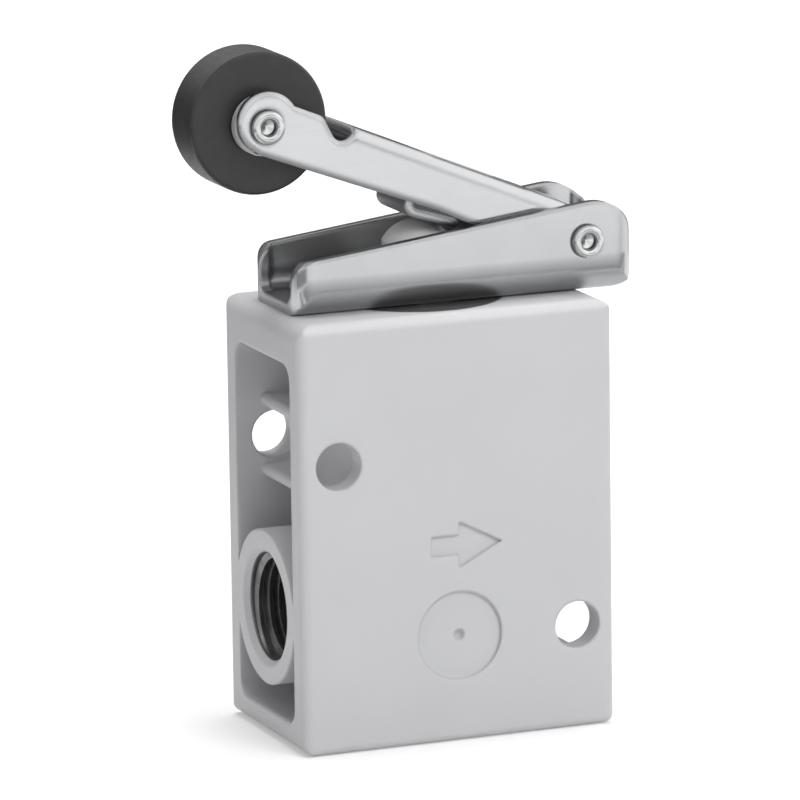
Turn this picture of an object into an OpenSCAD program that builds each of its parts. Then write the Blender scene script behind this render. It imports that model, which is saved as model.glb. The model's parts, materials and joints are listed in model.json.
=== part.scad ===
// Roller lever air valve: a poppet valve in a cored housing, worked by a sprung plunger
// under a folded lever with a roller. Millimetres, +Z up, ports along X, front towards -Y.
// The origin is the centre of the bottom face, on the plunger's axis.

/* [Housing] */
// Width across the port faces
body_w = 30; // [29:0.5:34]
// Depth from front to back
body_d = 18.2; // [17.6:0.2:21]
// Height from the foot to the bracket's seat
body_h = 38.8; // [38:0.2:42]
// Radius of the upright edges
edge_r = 0.9; // [0.5:0.1:1.4]
// Radius of the top edges at front and back
top_edge_r = 1; // [0.5:0.1:1.3]
// Radius of the top corners seen from the front
top_corner_r = 1.6; // [0.8:0.1:2.2]
// Radius of the bottom edges at front and back
foot_edge_r = 0.7; // [0.4:0.1:1.2]
// Radius of the bottom corners seen from the front
foot_corner_r = 1.5; // [0.6:0.1:2]

/* [Side pockets] */
// Thickness of the front wall
front_wall = 2.25; // [1.8:0.05:2.7]
// Thickness of the back wall
back_wall = 2.7; // [2:0.05:3]
// Thickness of the bottom under the pockets
floor_wall = 2.4; // [1.8:0.1:3]
// Thickness of the roof over the pockets
roof_wall = 3.8; // [3:0.1:5]
// Radius of the pocket's corners
pocket_r = 1.6; // [0.8:0.1:2.4]
// Radius of the upright core between the pockets
core_r = 8; // [7.8:0.1:8.6]
// Thickness of the lips beside each screw channel
rib_t = 1.1; // [0.8:0.1:1.4]
// Gap between the screw channel and the screw hole
rib_gap = 0.5; // [0.2:0.05:0.6]
// Distance of the lips behind the port face
rib_recess = 2.9; // [2:0.1:3.2]

/* [Ports and mounting holes] */
// Radius of the port thread
port_r = 4.865; // [4.5:0.005:5.2]
// Wall between the port's end and the valve bore
port_floor = 1; // [0.6:0.1:2]
// Chamfer at the port's mouth
port_chamfer = 0.5; // [0.2:0.1:0.8]
// Outer radius of the port boss
boss_r = 7; // [6.4:0.1:7.6]
// Radius of the passage from port to valve bore
passage_r = 2.8; // [2:0.1:3.2]
// Height of the inlet on the left
inlet_z = 11.85; // [11.2:0.05:13]
// Distance of the outlet on the right below the top
outlet_drop = 15.15; // [14.2:0.05:16]
// Radius of the two mounting holes
hole_r = 2.15; // [1.6:0.05:2.3]
// Distance of the mounting holes from the port faces
hole_inset = 3.65; // [3.2:0.05:4]
// Distance of the mounting hole on the left below the top
hole_left_drop = 12.75; // [10.8:0.05:14]
// Height of the mounting hole on the right
hole_right_z = 9.45; // [8:0.05:11]

/* [Moulded marks] */
// Depth of the marks on the front
mark_depth = 0.3; // [0.15:0.05:0.5]
// Radius of the round mark
disc_r = 4; // [3:0.1:4.4]
// Height of the round mark
disc_z = 9.65; // [8.5:0.05:10.5]
// Radius of the dimple in the round mark
dimple_r = 0.5; // [0.3:0.05:0.8]
// Length of the arrow
arrow_l = 6.75; // [5:0.05:8]
// Length of the arrow's head
arrow_head_l = 4.1; // [3:0.05:4.5]
// Height of the arrow's head
arrow_head_h = 4.2; // [3:0.05:4.6]
// Height of the arrow's shaft
arrow_shaft_h = 1.8; // [1.2:0.05:2.4]
// Height of the arrow above the foot
arrow_z = 17.9; // [17:0.05:19]

/* [Valve bore] */
// Radius of the valve bore
bore_r = 6; // [5.7:0.1:6.2]
// Height of the bore's floor
bore_floor = 3; // [2:0.1:3.6]
// Radius of the guide bush's flange
flange_r = 7.6; // [7:0.1:8]
// Thickness of the guide bush's flange
flange_t = 1.7; // [1.2:0.1:2.4]
// Length of the guide bush with its flange
guide_l = 10.3; // [9.8:0.1:11]
// Section radius of the bore's O-rings
o_ring_r = 0.6; // [0.5:0.05:0.7]
// Outer radius of the stem seal
seal_r = 4.5; // [4.1:0.1:4.7]
// Height of the stem seal
seal_t = 1.8; // [1.2:0.1:2.2]
// Radius of the hollow under the seal's lip
seal_hollow_r = 0.6; // [0.3:0.05:0.7]
// Thickness of the washer under the stem seal
washer_t = 0.9; // [0.5:0.1:1.3]
// Wall of the spacer sleeve
sleeve_wall = 1; // [0.8:0.05:1.3]
// Height of the valve seat
seat_t = 3.4; // [3:0.1:4]
// Ledge of the sleeve between the seat and the outlet's window
seat_ledge = 1.4; // [0.8:0.1:1.8]
// Radius of the hole through the seat
seat_hole_r = 3; // [2.7:0.05:3.3]
// Height of the seat's lip
lip_h = 0.5; // [0.3:0.05:0.8]
// Width of the seat's lip
lip_w = 0.5; // [0.3:0.05:0.8]

/* [Poppet] */
// Radius of the poppet
poppet_r = 4.6; // [4.3:0.1:5]
// Thickness of the poppet's plate
poppet_plate_t = 1.1; // [0.8:0.1:1.6]
// Thickness of the poppet's rubber face
poppet_seal_t = 1.4; // [1:0.1:1.8]
// Wall round the rubber face
poppet_rim = 0.5; // [0.4:0.05:0.7]
// Radius of the spring guide under the poppet
poppet_tail_r = 2; // [1.4:0.1:2.3]
// Length of the spring guide under the poppet
poppet_tail_l = 4; // [2:0.1:5]
// Width of the poppet's guide fins
fin_w = 1.6; // [1:0.1:2.4]

/* [Plunger] */
// Radius of the stem in the guide bush
stem_r = 2.5; // [2.3:0.05:2.7]
// Radius of the stem's lower tube
tube_r = 2; // [1.8:0.05:2.2]
// Radius of the exhaust passage in the stem
exhaust_r = 1.1; // [0.8:0.05:1.3]
// Radius of the cross hole that lets the exhaust out under the cap
exhaust_side_r = 0.9; // [0.6:0.05:1]
// Gap from the stem to the poppet at rest
exhaust_gap = 0.8; // [0.6:0.05:1]
// Radius of the stem's stop flange
stop_r = 3.9; // [3.6:0.05:4.2]
// Thickness of the stem's stop flange
stop_t = 1.1; // [0.8:0.1:1.5]
// Radius of the cap
cap_r = 3.1; // [2.9:0.05:3.4]
// Height of the cap
cap_h = 4; // [3.6:0.05:4.3]
// Radius of the cap's dome
dome_r = 3.5; // [3.45:0.05:5]
// Radius of the stem's neck in the cap
neck_r = 1.9; // [1.6:0.05:2.1]
// Depth of the neck in the cap
neck_l = 1.9; // [1.2:0.05:2.2]

/* [Springs] */
// Wire of the plunger spring
plunger_wire = 0.6; // [0.4:0.05:0.7]
// Coil radius of the plunger spring
plunger_coil_r = 3.3; // [3:0.05:3.5]
// Turns of the plunger spring
plunger_turns = 5; // [4:1:6]
// Wire of the poppet spring
poppet_wire = 0.7; // [0.5:0.05:0.8]
// Coil radius of the poppet spring
poppet_coil_r = 3.1; // [2.9:0.05:3.6]
// Turns of the poppet spring
poppet_turns = 6; // [4:1:7]

/* [Bracket] */
// Outer width of the bracket
bracket_w = 11.4; // [11.1:0.05:12.4]
// Thickness of the bracket's sheet
bracket_t = 1; // [0.8:0.05:1.05]
// Outer radius of the bends beside the bracket's floor
bracket_bend_r = 2.3; // [1.4:0.05:2.6]
// Outer radius of the bend between the bracket's floor and its end wall
bracket_heel_r = 2.2; // [1.4:0.05:2.6]
// Outer radius of the bracket's upright bends at its ends
bracket_curl_r = 1.9; // [1.3:0.05:2.2]
// Reach of the bracket to the left
bracket_reach = 13.55; // [12.8:0.05:14.2]
// Height of the flanges at the left
bracket_low_h = 4.8; // [4:0.05:6]
// Radius of the flange's corner at the left
bracket_corner_r = 2; // [0.6:0.05:2.4]
// Distance from the pivot to the bracket's end
bracket_end_l = 4.7; // [4.4:0.05:5.2]
// Radius of the flange's round end over the pivot
bracket_end_r = 4; // [3.6:0.05:4.2]
// Depth of the round end's centre below the pivot
bracket_end_drop = 0.5; // [0.2:0.05:0.6]
// Height of the wall at the bracket's end
bracket_wall_h = 3.2; // [2:0.1:3.8]
// Gap round the cap in the bracket's floor
bracket_hole_gap = 1; // [0.5:0.1:1.4]
// Distance of the bracket screws from the plunger's axis
screw_x = 9.8; // [9.5:0.05:10.4]
// Radius of the screw thread
screw_r = 1.25; // [1:0.05:1.4]
// Radius of the screw head
screw_head_r = 2.25; // [2:0.05:2.4]
// Height of the screw head
screw_head_h = 1.5; // [1:0.05:1.7]
// Radius of the screw head's crown
screw_crown_r = 4.5; // [2.6:0.1:6]
// Width of the cross slot in the screw head
screw_slot_w = 0.7; // [0.5:0.05:0.9]
// Length of the cross slot in the screw head
screw_slot_l = 2.7; // [2:0.1:3.4]
// Depth of the cross slot in the screw head
screw_slot_d = 0.75; // [0.4:0.05:0.9]

/* [Lever] */
// Distance of the pivot from the plunger's axis
pivot_x = 14.1; // [13.4:0.05:15]
// Height of the pivot over the housing
pivot_h = 4.7; // [4.5:0.05:5]
// Distance from the pivot to the roller's axle
lever_l = 32.3; // [31:0.1:36]
// Rest angle of the lever
lever_tilt = 22.6; // [21.6:0.2:24]
// Outer width of the lever
lever_w = 9; // [8.6:0.05:9.2]
// Thickness of the lever's sheet
lever_t = 0.8; // [0.6:0.05:0.9]
// Outer radius of the lever's bends
lever_bend_r = 1.1; // [0.9:0.05:1.5]
// Height of the web's top over the pivot line
lever_top = 2.5; // [2.3:0.05:2.9]
// Depth of the flanges below the pivot line near the roller
lever_neck = 2.55; // [1.8:0.05:2.8]
// Depth of the flanges below the pivot line over the foot
lever_waist = 1.9; // [1.3:0.05:2.2]
// Length of the web from the pivot
web_l = 24.3; // [23:0.1:25]
// Radius of the relief notch at the web's end
notch_r = 1.15; // [0.8:0.05:1.3]
// Depth of the notch's centre under the web's top
notch_drop = 0.4; // [0.1:0.05:0.5]
// Radius of the shoulder beside the notch
shoulder_r = 1; // [0.6:0.05:1.1]
// Distance from the notch's centre to the shoulder's
shoulder_l = 2.6; // [2.4:0.05:3]
// Radius of the ears
ear_r = 2.75; // [2.5:0.05:3.2]
// Height of the ear's centre over the axle
ear_lift = 0.35; // [0:0.05:0.6]

/* [Lever foot] */
// Depth of the foot's sole below the pivot
sole_drop = 1.75; // [1.6:0.05:1.85]
// Angle of the sole to the pivot line
sole_rake = 5.4; // [5:0.1:6]
// Distance from the pivot to the foot's heel
heel_l = 17; // [16.4:0.1:17.4]
// Distance from the pivot to the foot's toe
toe_l = 11.6; // [11:0.1:12.2]
// Width of the foot
sole_w = 6.8; // [5:0.1:7]
// Outer radius of the foot's bend
heel_r = 1.1; // [0.95:0.05:1.4]

/* [Roller and pins] */
// Radius of the roller
roller_r = 6.35; // [5.6:0.05:6.8]
// Width of the roller
roller_w = 5.1; // [4.4:0.1:5.2]
// Radius of the roller's edges
roller_edge_r = 0.35; // [0.2:0.05:0.9]
// Outer radius of the roller's bush
bush_r = 2.2; // [1.9:0.05:2.6]
// Length by which the bush stands out of the roller on each side
bush_proud = 0.15; // [0.05:0.05:0.3]
// Outer radius of the spacers beside the roller
spacer_r = 2.7; // [2.4:0.05:3]
// Radius of the pin shanks
pin_r = 1.3; // [1.15:0.05:1.35]
// Radius of the pins' rolled ends
pin_head_r = 1.5; // [1.42:0.01:1.7]
// Length of the pins' rolled ends
pin_head_l = 0.75; // [0.6:0.05:1.1]
// Radius of the hole through the pins
pin_hole_r = 0.7; // [0.5:0.05:0.85]
// Outer radius of the distance sleeve on the pivot
sleeve_r = 2; // [1.75:0.05:2.2]

/* [Fits] */
// Radial gap of the running fits
run_gap = 0.05; // [0.02:0.01:0.08]
// Radial gap of the still fits
fit_gap = 0.03; // [0.01:0.01:0.06]
// Gap between faces that close on each other
close_gap = 0.08; // [0.04:0.01:0.15]
// Side gap between moving faces
side_gap = 0.1; // [0.05:0.05:0.15]

/* [Hidden] */
$fn = 96;
over = 1; // cutters run past the faces that they open
lap = 0.25; // shapes that make one solid run into each other

// Finishes
shell_grey = [0.80, 0.80, 0.79];
black = [0.16, 0.16, 0.17];
rubber = [0.10, 0.10, 0.11];
brass = [0.78, 0.62, 0.30];
steel = [0.72, 0.73, 0.74];
bright = [0.86, 0.87, 0.88];
dome_grey = [0.58, 0.58, 0.58];

// Housing levels and faces
face_x = body_w / 2;
port_depth = face_x - bore_r - port_floor;
outlet_z = body_h - outlet_drop;
hole_x = face_x - hole_inset;
hole_left_z = body_h - hole_left_drop;
front_y = -body_d / 2;
pocket_front = front_y + front_wall;
pocket_back = body_d / 2 - back_wall;
pocket_top = body_h - roof_wall;
channel_r = hole_r + rib_gap;

// Valve levels, from the seat under the outlet
seat_top = outlet_z - passage_r - seat_ledge;
seat_bottom = seat_top - seat_t;
poppet_top = seat_bottom - lip_h - close_gap;
poppet_seal_z = poppet_top - poppet_seal_t;
poppet_z = poppet_seal_z - poppet_plate_t;
guide_z = body_h - guide_l;
stop_z = guide_z - close_gap - stop_t;
stem_tip = poppet_top + exhaust_gap;
insert_r = bore_r - fit_gap;
groove_r = bore_r - 2 * o_ring_r - fit_gap;

// Lever frame: the pivot is its origin, and the roller lies along -X
pivot_z = body_h + pivot_h;
sole_tilt = lever_tilt - sole_rake;
dome_z = pivot_z + (pivot_x * sin(sole_tilt) - sole_drop - dome_r - close_gap) / cos(sole_tilt);
cap_top = dome_z + dome_r;
cap_z = cap_top - cap_h;
exhaust_z = cap_z - exhaust_r;
lever_inner = lever_w / 2 - lever_t;
bracket_end = pivot_x + bracket_end_l;
bracket_mouth = bracket_w / 2 - bracket_curl_r;
bracket_clear_z = pivot_z + 2 * bracket_end_r;
web_start = sleeve_r + side_gap;
leg_top = (lever_top - lever_t / 2 + heel_l * sin(sole_rake)) / cos(sole_rake);
window_l = heel_l - lever_t - (leg_top + sole_drop) - (heel_l - toe_l) + heel_r;

// A 2D shape in the XZ plane, made thick along Y from y0 to y1
module along_y(y0, y1) translate([0, y1, 0]) rotate([90, 0, 0]) linear_extrude(y1 - y0) children();

// A 2D shape whose first axis is Y and second is Z, made thick along X from x0 to x1
module along_x(x0, x1) translate([x0, 0, 0]) rotate([90, 0, 90]) linear_extrude(x1 - x0) children();

// A cylinder along X, from x0 to x1
module rod_x(r, x0, x1) translate([x0, 0, 0]) rotate([0, 90, 0]) cylinder(r = r, h = x1 - x0);

// A cylinder along Y, centred
module rod_y(r, l) rotate([90, 0, 0]) cylinder(r = r, h = l, center = true);

// A profile of radius and height, turned about the Y axis
module turned_y() rotate([90, 0, 0]) rotate_extrude() children();

// A tube along Z, from z0 to z1
module tube(r, hole, z0, z1) translate([0, 0, z0]) difference() {
  cylinder(r = r, h = z1 - z0);
  translate([0, 0, -over]) cylinder(r = hole, h = z1 - z0 + 2 * over);
}

// A rectangle from corner a to corner b, with its lower corners rounded by r0 and its upper ones by r1
module round_rect(a, b, r0, r1) {
  for (x = [a.x, b.x]) {
    inward = x == a.x ? 1 : -1;
    translate([x + inward * r0, a.y + r0]) circle(r0);
    translate([x + inward * r1, b.y - r1]) circle(r1);
  }
  translate([a.x + r0, a.y]) square([b.x - a.x - 2 * r0, r0]);
  translate([a.x + r1, b.y - r1]) square([b.x - a.x - 2 * r1, r1]);
  translate([a.x, a.y + r0]) square([b.x - a.x, b.y - a.y - r0 - r1]);
}

// What a bend of radius r takes off an outer corner at the origin, with the sheet towards +X and +Y
module bend_corner(r) difference() {
  translate([-over, -over]) square(r + over);
  translate([r, r]) circle(r);
}

// Tangent point on a circle from a point outside it; side is 1 for the left of the way, -1 for the right
function tangent(p, c, r, side) =
  let (d = norm(c - p), l = sqrt(d * d - r * r), a = atan2(c.y - p.y, c.x - p.x) + side * asin(r / d))
  p + l * [cos(a), sin(a)];

// Turn of the line that passes over a circle of radius r1 at c1 and under one of radius r2 at c2
function crossing(c1, r1, c2, r2) = atan2(c2.y - c1.y, c2.x - c1.x) + acos((r1 + r2) / norm(c2 - c1));

// Height share of a coil at turn u of n, with closed end turns of rise e
function coil_rise(u, n, e) = u < 1 ? u * e : u > n - 1 ? 1 - (n - u) * e
  : e + (u - 1) / (n - 2) * (1 - 2 * e);

// A compression spring of round wire between z0 and z1
module coil(r, wire, z0, z1, turns) {
  sides = 8;
  steps = 16;
  last = turns * steps;
  span = z1 - z0 - wire;
  closed_pitch = 1.15 * wire; // end turns lie almost wire on wire
  closed_rise = closed_pitch / span;
  centre = [for (i = [0:last]) z0 + wire / 2 + span * coil_rise(i / steps, turns, closed_rise)];
  points = [for (i = [0:last]) for (k = [0:sides - 1])
    let (a = 360 * i / steps, b = 360 * k / sides, q = r + wire / 2 * cos(b))
    [q * cos(a), q * sin(a), centre[i] + wire / 2 * sin(b)]];
  skin = [for (i = [0:last - 1]) for (k = [0:sides - 1])
    let (n = (k + 1) % sides)
    [i * sides + k, i * sides + n, (i + 1) * sides + n, (i + 1) * sides + k]];
  first_end = [for (k = [sides - 1:-1:0]) k];
  last_end = [for (k = [0:sides - 1]) last * sides + k];
  polyhedron(points, concat([first_end, last_end], skin), convexity = 10);
}

// Housing block: upright edges, front view and side view each give their own rounding
module block() intersection() {
  linear_extrude(body_h) round_rect([-face_x, front_y], [face_x, -front_y], edge_r, edge_r);
  along_y(front_y, -front_y) round_rect([-face_x, 0], [face_x, body_h], foot_corner_r, top_corner_r);
  along_x(-face_x, face_x) round_rect([front_y, 0], [-front_y, body_h], foot_edge_r, top_edge_r);
}

// One side pocket, open at the port face; side is -1 for the left, 1 for the right
module pocket(side) along_x(side < 0 ? -face_x - over : 0, side < 0 ? 0 : face_x + over)
  round_rect([pocket_front, floor_wall], [pocket_back, pocket_top], pocket_r, pocket_r);

// Block round a screw channel, which opens to the port face between two lips
module screw_channel(side, z) translate([0, 0, z]) mirror([side < 0 ? 1 : 0, 0, 0])
  along_y(pocket_front - lap, pocket_back + lap) difference() {
    lip_x = face_x - rib_recess;
    lip_z = channel_r + rib_t / 2;
    union() {
      translate([0, -lip_z - rib_t / 2]) square([lip_x, 2 * lip_z + rib_t]);
      for (up = [-1, 1]) translate([lip_x, up * lip_z]) circle(rib_t / 2);
    }
    translate([hole_x, 0]) circle(channel_r);
    translate([hole_x, -channel_r]) square([face_x - hole_x, 2 * channel_r]);
  }

// Threaded port with its chamfer and the passage to the valve bore
module port(side, z) translate([0, 0, z]) mirror([side < 0 ? 1 : 0, 0, 0]) {
  rod_x(port_r, face_x - port_depth, face_x + over);
  rod_x(passage_r, 0, face_x - port_depth + over);
  translate([face_x - port_chamfer, 0, 0]) rotate([0, 90, 0])
    cylinder(r1 = port_r, r2 = port_r + port_chamfer + over, h = port_chamfer + over);
}

// Arrow towards the outlet
module arrow() {
  shaft_l = arrow_l - arrow_head_l;
  translate([-shaft_l, -arrow_shaft_h / 2]) square([shaft_l + lap, arrow_shaft_h]);
  polygon([[0, -arrow_head_h / 2], [arrow_head_l, 0], [0, arrow_head_h / 2]]);
}

module moulded_marks() along_y(front_y - over, front_y + mark_depth) {
  translate([0, arrow_z]) arrow();
  translate([0, disc_z]) circle(disc_r);
}

module dimple() translate([0, front_y + mark_depth, disc_z]) sphere(dimple_r);

module body() color(shell_grey) difference() {
  union() {
    difference() {
      block();
      pocket(-1);
      pocket(1);
    }
    translate([0, 0, floor_wall / 2]) cylinder(r = core_r, h = body_h - floor_wall / 2 - roof_wall / 2);
    translate([0, 0, inlet_z]) rod_x(boss_r, -face_x, 0);
    translate([0, 0, outlet_z]) rod_x(boss_r, 0, face_x);
    screw_channel(-1, hole_left_z);
    screw_channel(1, hole_right_z);
  }
  translate([0, 0, bore_floor]) cylinder(r = bore_r, h = body_h);
  translate([0, 0, body_h - flange_t]) cylinder(r = flange_r + fit_gap, h = flange_t + over);
  port(-1, inlet_z);
  port(1, outlet_z);
  translate([-hole_x, 0, hole_left_z]) rod_y(hole_r, body_d + 2 * over);
  translate([hole_x, 0, hole_right_z]) rod_y(hole_r, body_d + 2 * over);
  for (x = [-screw_x, screw_x]) translate([x, 0, pocket_top - over])
    cylinder(r = screw_r + fit_gap, h = roof_wall + 2 * over);
  moulded_marks();
  dimple();
}

// Groove for an O-ring in an insert of the bore
module o_ring_groove(z) tube(bore_r + over, groove_r, z - o_ring_r - fit_gap, z + o_ring_r + fit_gap);

module o_ring(z) translate([0, 0, z]) rotate_extrude() translate([groove_r + fit_gap / 2 + o_ring_r, 0])
  circle(o_ring_r);

guide_groove_z = (guide_z + seal_t + washer_t + body_h - flange_t) / 2;
seat_groove_z = (seat_top + seat_bottom) / 2;

module guide_bush() color(black) difference() {
  union() {
    translate([0, 0, guide_z]) cylinder(r = insert_r, h = guide_l);
    translate([0, 0, body_h - flange_t]) cylinder(r = flange_r, h = flange_t);
  }
  translate([0, 0, guide_z - over]) cylinder(r = stem_r + run_gap, h = guide_l + 2 * over);
  translate([0, 0, guide_z - over]) cylinder(r = seal_r + fit_gap, h = seal_t + washer_t + over);
  o_ring_groove(guide_groove_z);
}

module guide_o_ring() color(rubber) o_ring(guide_groove_z);

// Lip ring: the lower side is hollowed so that pressure spreads the lip
module stem_seal() color(rubber) difference() {
  tube(seal_r, stem_r + run_gap, guide_z + washer_t, guide_z + washer_t + seal_t);
  lip_mid = (seal_r + stem_r) / 2;
  translate([0, 0, guide_z + washer_t]) rotate_extrude() translate([lip_mid, 0]) circle(seal_hollow_r);
}

module seal_washer() color(steel) tube(seal_r, stem_r + 2 * run_gap, guide_z, guide_z + washer_t);

module spacer_sleeve() color(brass) difference() {
  tube(insert_r, insert_r - sleeve_wall, seat_top, guide_z);
  translate([0, 0, outlet_z]) rod_x(passage_r, -bore_r - over, bore_r + over);
  translate([0, 0, outlet_z]) rod_y(passage_r, 2 * (bore_r + over));
}

module valve_seat() color(brass) {
  difference() {
    tube(insert_r, seat_hole_r, seat_bottom, seat_top);
    o_ring_groove(seat_groove_z);
  }
  tube(seat_hole_r + lip_w, seat_hole_r, seat_bottom - lip_h, seat_bottom);
}

module seat_o_ring() color(rubber) o_ring(seat_groove_z);

module poppet() color(brass) difference() {
  union() {
    translate([0, 0, poppet_z]) cylinder(r = poppet_r, h = poppet_plate_t + poppet_seal_t - lip_h);
    translate([0, 0, poppet_z - poppet_tail_l]) cylinder(r = poppet_tail_r, h = poppet_tail_l);
    intersection() {
      for (a = [0, 90]) rotate(a) translate([-bore_r, -fin_w / 2, poppet_z])
        cube([2 * bore_r, fin_w, poppet_plate_t]);
      translate([0, 0, poppet_z]) cylinder(r = bore_r - run_gap, h = poppet_plate_t);
    }
  }
  translate([0, 0, poppet_seal_z]) cylinder(r = poppet_r - poppet_rim, h = poppet_seal_t);
}

module poppet_seal() color(rubber) translate([0, 0, poppet_seal_z])
  cylinder(r = poppet_r - poppet_rim - fit_gap, h = poppet_seal_t);

module poppet_spring() color(steel)
  coil(poppet_coil_r, poppet_wire, bore_floor + fit_gap, poppet_z - fit_gap, poppet_turns);

module plunger_stem() color(steel) difference() {
  union() {
    translate([0, 0, stem_tip]) cylinder(r = tube_r, h = stop_z - stem_tip + stop_t);
    translate([0, 0, stop_z]) cylinder(r = stop_r, h = stop_t);
    translate([0, 0, stop_z]) cylinder(r = stem_r, h = cap_z - stop_z);
    translate([0, 0, stop_z]) cylinder(r = neck_r, h = cap_z + neck_l - stop_z);
  }
  translate([0, 0, stem_tip - over]) cylinder(r = exhaust_r, h = exhaust_z - stem_tip + over);
  translate([0, 0, exhaust_z]) rod_y(exhaust_side_r, 2 * (stem_r + over));
}

module plunger_cap() color(dome_grey) difference() {
  intersection() {
    translate([0, 0, cap_z]) cylinder(r = cap_r, h = cap_h);
    union() {
      translate([0, 0, dome_z]) sphere(dome_r);
      translate([0, 0, cap_z]) cylinder(r = cap_r, h = dome_z - cap_z);
    }
  }
  translate([0, 0, cap_z - over]) cylinder(r = neck_r + fit_gap, h = neck_l + over);
}

module plunger_spring() color(steel)
  coil(plunger_coil_r, plunger_wire, seat_top + fit_gap, stop_z - fit_gap, plunger_turns);

// Side view of the bracket: low at the left, a round end over the pivot at the right
module bracket_outline() {
  round_end = [bracket_end - bracket_end_r, pivot_z - bracket_end_drop];
  high_left = [-bracket_reach, body_h + bracket_low_h];
  top = tangent(high_left, round_end, bracket_end_r, 1);
  slope = atan2(top.y - high_left.y, top.x - high_left.x);
  corner_y = high_left.y + bracket_corner_r * (tan(slope) - 1 / cos(slope));
  corner = [-bracket_reach + bracket_corner_r, corner_y];
  corner_top = corner + bracket_corner_r * [-sin(slope), cos(slope)];
  polygon([[-bracket_reach, body_h], [bracket_end, body_h], [bracket_end, round_end.y],
    round_end, top, corner_top, corner, [-bracket_reach, corner_y]]);
  translate(round_end) circle(bracket_end_r);
  translate(corner) circle(bracket_corner_r);
}

// The bracket's block, or the space in it with the sheet's thickness as inset: plan, end view and side view
module bracket_block(inset) intersection() {
  half_w = bracket_w / 2 - inset;
  floor_z = body_h + inset;
  curl_r = bracket_curl_r - inset;
  bend_r = bracket_bend_r - inset;
  heel_r = bracket_heel_r - inset;
  left = -bracket_reach - 2 * bracket_heel_r;
  translate([0, 0, floor_z]) linear_extrude(bracket_clear_z - floor_z)
    round_rect([-bracket_reach + inset, -half_w], [bracket_end - inset, half_w], curl_r, curl_r);
  along_x(-bracket_reach, bracket_end)
    round_rect([-half_w, floor_z], [half_w, bracket_clear_z], bend_r, bend_r);
  along_y(-half_w, half_w)
    round_rect([left, floor_z], [bracket_end - inset, bracket_clear_z], heel_r, heel_r);
}

// Opening between the flanges at an end of the bracket, from x0 to x1 and down to z
module bracket_gap(x0, x1, z) along_x(x0, x1) {
  corner_r = bracket_bend_r - bracket_t;
  round_rect([-bracket_mouth, z], [bracket_mouth, bracket_clear_z], corner_r, corner_r);
}

// Pan head with a cross slot, and its plain shank
module bracket_screw() {
  head_z = body_h + bracket_t;
  difference() {
    intersection() {
      translate([0, 0, head_z]) cylinder(r = screw_head_r, h = screw_head_h);
      translate([0, 0, head_z + screw_head_h - screw_crown_r]) sphere(screw_crown_r);
    }
    for (a = [0, 90]) translate([0, 0, head_z + screw_head_h]) rotate(a)
      cube([screw_slot_l, screw_slot_w, 2 * screw_slot_d], center = true);
  }
  translate([0, 0, pocket_top + fit_gap]) cylinder(r = screw_r, h = head_z - pocket_top);
}

module bracket_screws() color(steel) for (x = [-screw_x, screw_x]) translate([x, 0, 0]) bracket_screw();

module lever_bracket() color(bright) difference() {
  intersection() {
    bracket_block(0);
    along_y(-bracket_w / 2, bracket_w / 2) bracket_outline();
  }
  bracket_block(bracket_t);
  bracket_gap(-bracket_reach - over, -bracket_reach + bracket_t + lap, body_h + bracket_t);
  bracket_gap(bracket_end - bracket_t - lap, bracket_end + over, body_h + bracket_wall_h);
  translate([0, 0, body_h - over]) cylinder(r = cap_r + bracket_hole_gap, h = bracket_t + 2 * over);
  for (x = [-screw_x, screw_x]) translate([x, 0, body_h - over])
    cylinder(r = screw_r + 2 * fit_gap, h = bracket_t + 2 * over);
  translate([pivot_x, 0, pivot_z]) rod_y(pin_r + fit_gap, bracket_w + 2 * over);
}

// The lever's own frame, tilted about the pivot
module at_pivot() translate([pivot_x, 0, pivot_z]) rotate([0, lever_tilt, 0]) children();

// Side view of one lever flange, from the pivot's round end past the notch and its shoulder to the ear
module lever_outline() difference() {
  waist_x = -(heel_l + toe_l) / 2;
  notch = [-web_l - notch_r, lever_top - notch_drop];
  shoulder = [notch.x - shoulder_l, lever_top - shoulder_r];
  turn = crossing(shoulder, shoulder_r, notch, notch_r);
  way = [cos(turn), sin(turn)];
  union() {
    polygon([[0, lever_top], [notch.x, lever_top], notch, notch - notch_r * way,
      shoulder + shoulder_r * way, [shoulder.x, lever_top], [-lever_l, lever_top],
      [-lever_l, -lever_neck], [waist_x, -lever_waist], [0, -lever_top]]);
    circle(lever_top);
    translate(shoulder) circle(shoulder_r);
    translate([-lever_l, ear_lift]) circle(ear_r);
  }
  translate(notch) circle(notch_r);
}

// The foot: a tongue folded down from the web and on towards the pivot, seen from the side
module foot_outline() {
  difference() {
    union() {
      translate([-heel_l, -sole_drop + heel_r]) square([lever_t, leg_top + sole_drop - heel_r]);
      translate([-heel_l + heel_r, -sole_drop]) square([heel_l - heel_r - toe_l - lever_t / 2, lever_t]);
      intersection() {
        translate([-heel_l + heel_r, -sole_drop + heel_r]) circle(heel_r);
        translate([-heel_l, -sole_drop]) square(heel_r);
      }
    }
    translate([-heel_l + heel_r, -sole_drop + heel_r]) circle(heel_r - lever_t);
  }
  translate([-toe_l - lever_t / 2, -sole_drop + lever_t / 2]) circle(lever_t / 2);
}

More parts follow.
